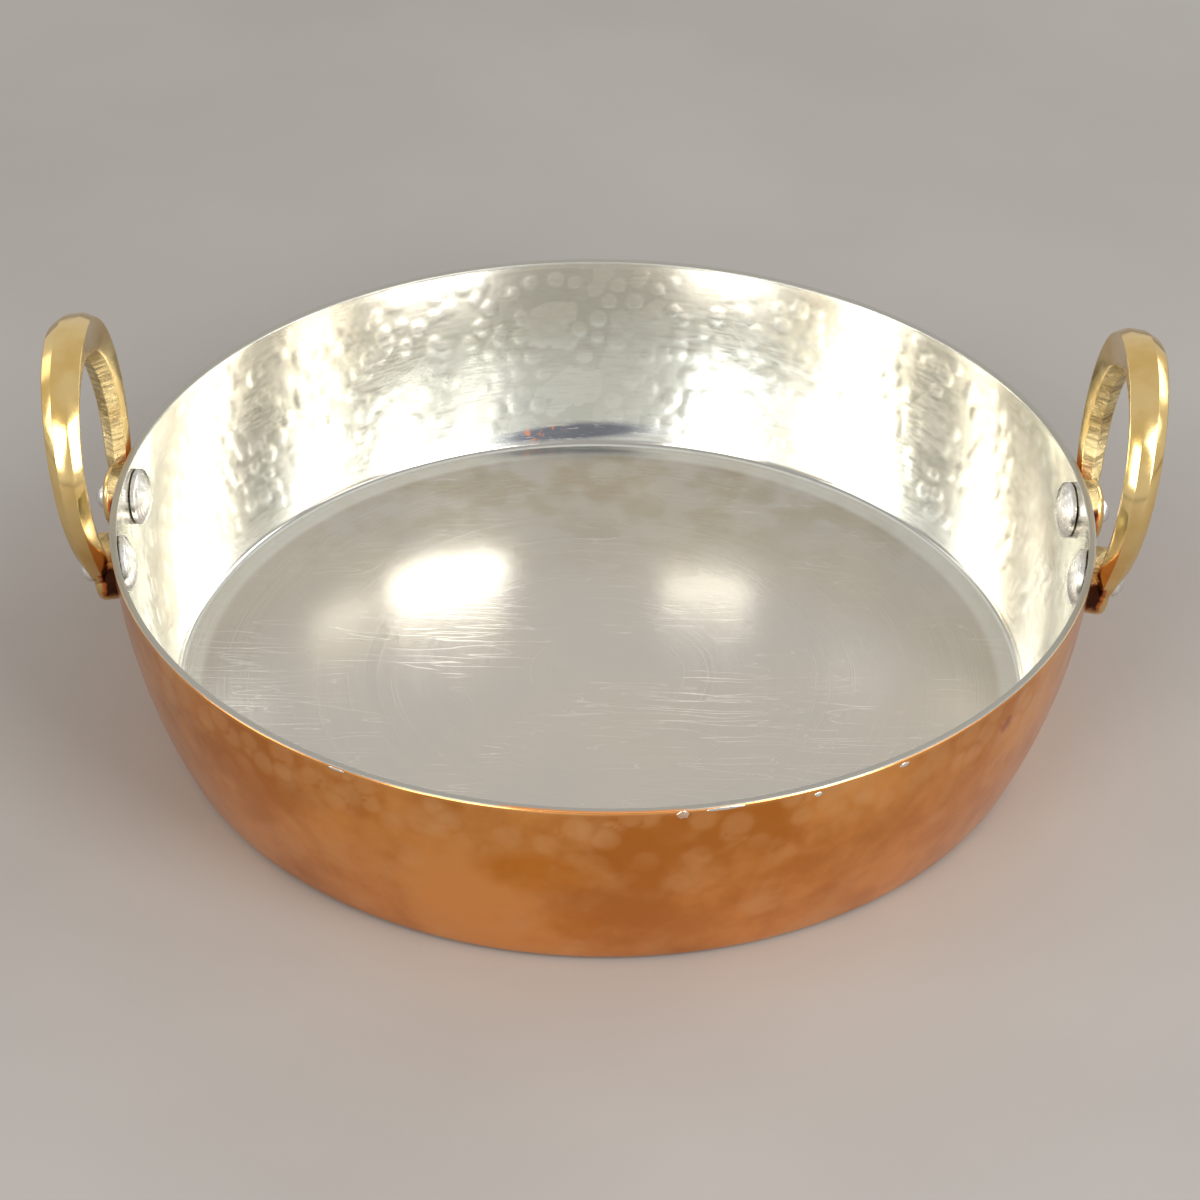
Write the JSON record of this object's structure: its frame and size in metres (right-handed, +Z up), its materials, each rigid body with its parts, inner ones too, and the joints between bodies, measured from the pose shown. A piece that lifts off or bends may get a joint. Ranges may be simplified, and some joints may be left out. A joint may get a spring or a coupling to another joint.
{
  "type": "two-handled copper pan",
  "caption": "Round shallow copper pan with a flat floor and hammered bowed wall, tinned inside, with upright cast brass ring handles riveted outside the rim.",
  "frame": {"origin": "middle of the flat base, on the surface the pan stands on", "axes": "+Z up, +X towards the right handle, the cook stands on the -Y side"},
  "size_m": [0.2884, 0.26, 0.1085],
  "materials": {
    "copper": "polished hammered copper, lightly darkened in patches",
    "tin": "hand-wiped tin, bright hammered wall and satin turned floor",
    "handle_brass": "sand-cast brass, filed and polished outside, rough on the finger side",
    "rivet_metal": "soft white metal with turned heads"
  },
  "bodies": {
    "root": {"pan_body": "copper", "tin_lining": "tin", "handle_left": "handle_brass", "handle_right": "handle_brass", "rivet_left_front": "rivet_metal", "rivet_left_back": "rivet_metal", "rivet_right_front": "rivet_metal", "rivet_right_back": "rivet_metal"}
  },
  "joints": []
}
